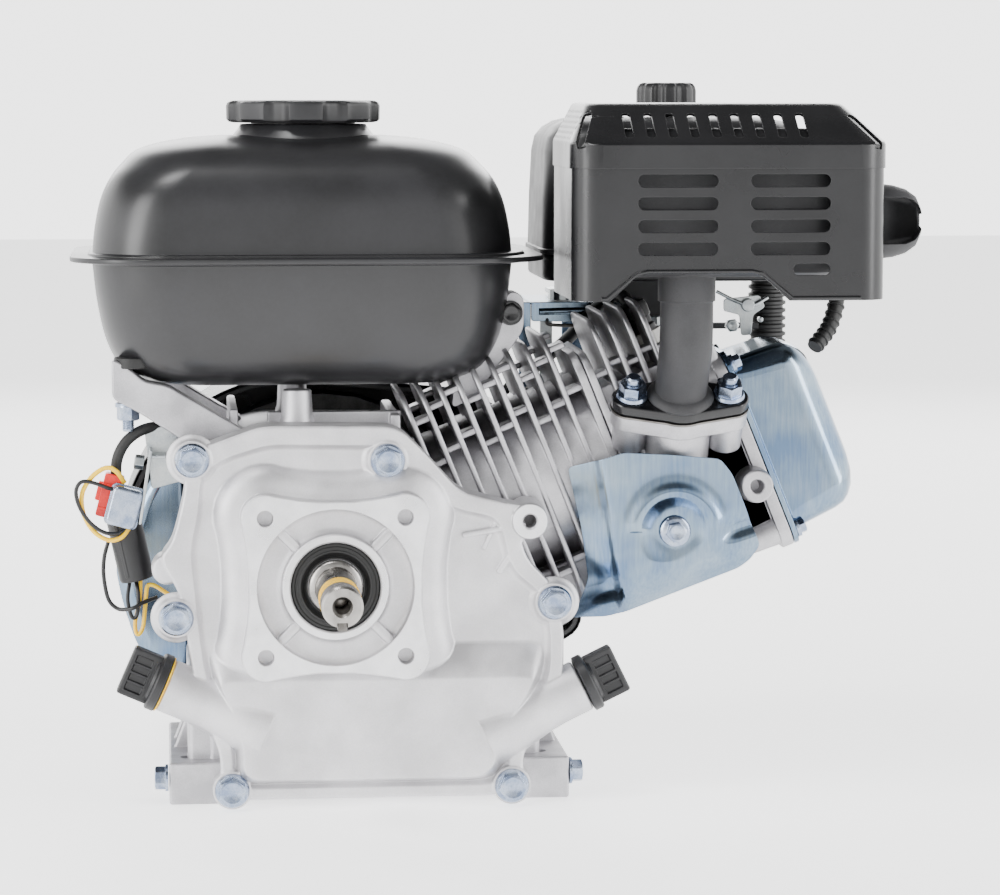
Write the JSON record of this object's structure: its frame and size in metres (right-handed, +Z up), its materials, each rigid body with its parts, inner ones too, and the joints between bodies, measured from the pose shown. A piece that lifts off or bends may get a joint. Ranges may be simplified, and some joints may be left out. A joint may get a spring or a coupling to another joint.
{
  "type": "small gasoline engine",
  "caption": "Air-cooled single-cylinder overhead-valve petrol engine with horizontal keyed shaft, fuel tank, muffler, air cleaner and recoil starter.",
  "frame": {"origin": "on the base plane under the crankshaft axis, level with the middle of the cylinder bore", "axes": "+X to the cylinder head, -Y out of the shaft end, +Z up"},
  "size_m": [0.4019, 0.32, 0.3398],
  "materials": {
    "die_cast_case": "fine blasted die casting",
    "die_cast_cover": "fine blasted die casting",
    "die_cast_head": "fine blasted die casting",
    "die_cast_carburettor": "die cast",
    "cast_piston": "machined",
    "bearing_steel": "ground",
    "ground_steel": "ground",
    "valve_steel": "machined",
    "zinc_bolt": "blue zinc plated",
    "blue_zinc_cover": "glossy blue zinc plated sheet",
    "blue_zinc_sheet": "glossy blue zinc plated sheet",
    "zinc_module": "zinc plated",
    "zinc_lever": "zinc plated",
    "bowl_metal": "satin",
    "plug_ceramic": "plated steel and white ceramic",
    "rubber_seal": "matte",
    "rubber_hose": "matte",
    "heat_paint": "matte heat-proof paint",
    "guard_paint": "satin black paint",
    "tank_paint": "satin black powder coat",
    "blower_paint": "satin black paint",
    "cap_plastic": "fine moulded grain",
    "dipstick_plastic": "moulded",
    "air_cleaner_plastic": "fine moulded grain",
    "lever_plastic": "moulded",
    "filter_foam": "open foam",
    "starter_plastic": "moulded",
    "switch_plastic": "moulded",
    "coil_plastic": "moulded",
    "flywheel_iron": "cast",
    "starter_cup_steel": "pressed"
  },
  "bodies": {
    "engine": {"crankcase": "die_cast_case", "side_cover": "die_cast_cover", "cylinder_head": "die_cast_head", "carburettor": "die_cast_carburettor", "pto_bearing": "bearing_steel", "rear_bearing": "bearing_steel", "cover_bolt_1": "zinc_bolt", "cover_bolt_2": "zinc_bolt", "cover_bolt_3": "zinc_bolt", "cover_bolt_4": "zinc_bolt", "cover_bolt_5": "zinc_bolt", "cover_bolt_6": "zinc_bolt", "drain_plug_left": "zinc_bolt", "drain_plug_right": "zinc_bolt", "rocker_cover": "blue_zinc_cover", "heat_deflector": "blue_zinc_sheet", "oil_alert_module": "zinc_module", "float_bowl": "bowl_metal", "spark_plug": "plug_ceramic", "oil_seal": "rubber_seal", "breather_hose": "rubber_hose", "spark_plug_cap": "rubber_hose", "muffler": "heat_paint", "exhaust_outlet": "heat_paint", "muffler_guard": "guard_paint", "fuel_tank": "tank_paint", "blower_housing": "blower_paint", "recoil_cover": "blower_paint", "air_cleaner_base": "air_cleaner_plastic", "filter_element": "filter_foam", "ignition_coil": "coil_plastic"},
    "crank": {"crankshaft_front": "ground_steel", "crankshaft_rear": "ground_steel", "shaft_key": "ground_steel", "flywheel": "flywheel_iron", "starter_cup": "starter_cup_steel"},
    "cam": {"camshaft": "ground_steel"},
    "piston_group": {"piston": "cast_piston", "wrist_pin": "ground_steel", "connecting_rod": "cast_piston", "crankpin": "ground_steel"},
    "exhaust_rocker_arm": {"exhaust_rocker": "valve_steel"},
    "intake_rocker_arm": {"intake_rocker": "valve_steel"},
    "exhaust_valve_body": {"exhaust_valve": "valve_steel"},
    "intake_valve_body": {"intake_valve": "valve_steel"},
    "exhaust_pushrod_body": {"exhaust_pushrod": "valve_steel"},
    "intake_pushrod_body": {"intake_pushrod": "valve_steel"},
    "governor_arm_body": {"governor_arm": "zinc_lever"},
    "throttle_arm_body": {"throttle_arm": "zinc_lever"},
    "control_lever_body": {"control_lever": "zinc_lever"},
    "choke_lever_body": {"choke_lever": "lever_plastic"},
    "fuel_valve_lever_body": {"fuel_valve_lever": "lever_plastic"},
    "stop_switch_body": {"stop_switch": "switch_plastic"},
    "fuel_cap_body": {"fuel_cap": "cap_plastic"},
    "dipstick_left_body": {"dipstick_left": "dipstick_plastic"},
    "dipstick_right_body": {"dipstick_right": "dipstick_plastic"},
    "air_cleaner_cover_body": {"air_cleaner_cover": "air_cleaner_plastic"},
    "air_cleaner_knob_body": {"air_cleaner_knob": "air_cleaner_plastic"},
    "recoil_handle_body": {"recoil_handle": "starter_plastic"},
    "rope_reel_body": {"rope_reel": "starter_plastic"}
  },
  "joints": [
    {"name": "crank_spin", "type": "hinge", "parent": "engine", "child": "crank", "pos_m": [0, 0, 0.106], "axis": [0, -1, 0], "continuous": true},
    {"name": "cam_spin", "type": "hinge", "parent": "engine", "child": "cam", "pos_m": [0, 0, 0.049], "axis": [0, -1, 0], "continuous": true},
    {"name": "piston_slide", "type": "slide", "parent": "engine", "child": "piston_group", "axis": [-0.9272, 0, -0.3746], "range_m": [0, 0.054]},
    {"name": "exhaust_rocker_tilt", "type": "hinge", "parent": "engine", "child": "exhaust_rocker_arm", "pos_m": [0.20258, -0.0165, 0.15719], "axis": [0, -1, 0], "range_deg": [0, 11], "stiffness_Nm_per_rad": 0.3, "springref_deg": -5.73},
    {"name": "exhaust_valve_lift", "type": "slide", "parent": "engine", "child": "exhaust_valve_body", "axis": [-0.9272, 0, -0.3746], "range_m": [0, 0.0048]},
    {"name": "exhaust_pushrod_lift", "type": "slide", "parent": "engine", "child": "exhaust_pushrod_body", "axis": [0.9272, 0, 0.3746], "range_m": [0, 0.0048]},
    {"name": "intake_rocker_tilt", "type": "hinge", "parent": "engine", "child": "intake_rocker_arm", "pos_m": [0.20258, 0.0165, 0.15719], "axis": [0, -1, 0], "range_deg": [0, 11], "stiffness_Nm_per_rad": 0.3, "springref_deg": -5.73},
    {"name": "intake_valve_lift", "type": "slide", "parent": "engine", "child": "intake_valve_body", "axis": [-0.9272, 0, -0.3746], "range_m": [0, 0.0048]},
    {"name": "intake_pushrod_lift", "type": "slide", "parent": "engine", "child": "intake_pushrod_body", "axis": [0.9272, 0, 0.3746], "range_m": [0, 0.0048]},
    {"name": "governor_arm_swing", "type": "hinge", "parent": "engine", "child": "governor_arm_body", "pos_m": [0.112, 0.0515, 0.152], "axis": [0, 1, 0], "range_deg": [0, 20]},
    {"name": "throttle_turn", "type": "hinge", "parent": "engine", "child": "throttle_arm_body", "pos_m": [0.169, 0.062, 0.217], "axis": [0, 0, 1], "range_deg": [-40, 0]},
    {"name": "control_lever_swing", "type": "hinge", "parent": "engine", "child": "control_lever_body", "pos_m": [0.122, 0.06, 0.233], "axis": [0, 0, 1], "range_deg": [-25, 35]},
    {"name": "choke_turn", "type": "hinge", "parent": "engine", "child": "choke_lever_body", "pos_m": [0.189, 0.075, 0.198], "axis": [1, 0, 0], "range_deg": [0, 60]},
    {"name": "fuel_valve_turn", "type": "hinge", "parent": "engine", "child": "fuel_valve_lever_body", "pos_m": [0.201, 0.068, 0.177], "axis": [1, 0, 0], "range_deg": [0, 90]},
    {"name": "stop_switch_turn", "type": "hinge", "parent": "engine", "child": "stop_switch_body", "pos_m": [0.108, 0.14, 0.092], "axis": [0, -1, 0], "range_deg": [0, 60]},
    {"name": "fuel_cap_lift", "type": "slide", "parent": "engine", "child": "fuel_cap_body", "axis": [0, 0, 1], "range_m": [0, 0.03]},
    {"name": "dipstick_left_pull", "type": "slide", "parent": "engine", "child": "dipstick_left_body", "axis": [-0.9152, 0, 0.4031], "range_m": [0, 0.07]},
    {"name": "dipstick_right_pull", "type": "slide", "parent": "engine", "child": "dipstick_right_body", "axis": [0.8992, 0, 0.4376], "range_m": [0, 0.07]},
    {"name": "air_cleaner_cover_lift", "type": "slide", "parent": "engine", "child": "air_cleaner_cover_body", "axis": [0, 0, 1], "range_m": [0, 0.08]},
    {"name": "air_cleaner_knob_lift", "type": "slide", "parent": "air_cleaner_cover_body", "child": "air_cleaner_knob_body", "axis": [0, 0, 1], "range_m": [0, 0.02]},
    {"name": "recoil_handle_pull", "type": "slide", "parent": "engine", "child": "recoil_handle_body", "axis": [-0.7071, 0, 0.7071], "range_m": [0, 0.45], "stiffness_N_per_m": 20, "springref_m": -0.1},
    {"name": "rope_reel_spin", "type": "hinge", "parent": "engine", "child": "rope_reel_body", "pos_m": [0, 0.155, 0.106], "axis": [0, -1, 0], "range_deg": [0, 650]}
  ],
  "couplings": [
    {"joint": "cam_spin", "follows": "crank_spin", "ratio": -0.5},
    {"joint": "throttle_turn", "follows": "governor_arm_swing", "ratio": -2},
    {"joint": "rope_reel_spin", "follows": "recoil_handle_pull", "rad_per_m": 25},
    {"joint": "exhaust_valve_lift", "follows": "exhaust_rocker_tilt", "m_per_rad": 0.024425},
    {"joint": "exhaust_pushrod_lift", "follows": "exhaust_rocker_tilt", "m_per_rad": 0.024425},
    {"joint": "intake_valve_lift", "follows": "intake_rocker_tilt", "m_per_rad": 0.024425},
    {"joint": "intake_pushrod_lift", "follows": "intake_rocker_tilt", "m_per_rad": 0.024425}
  ]
}
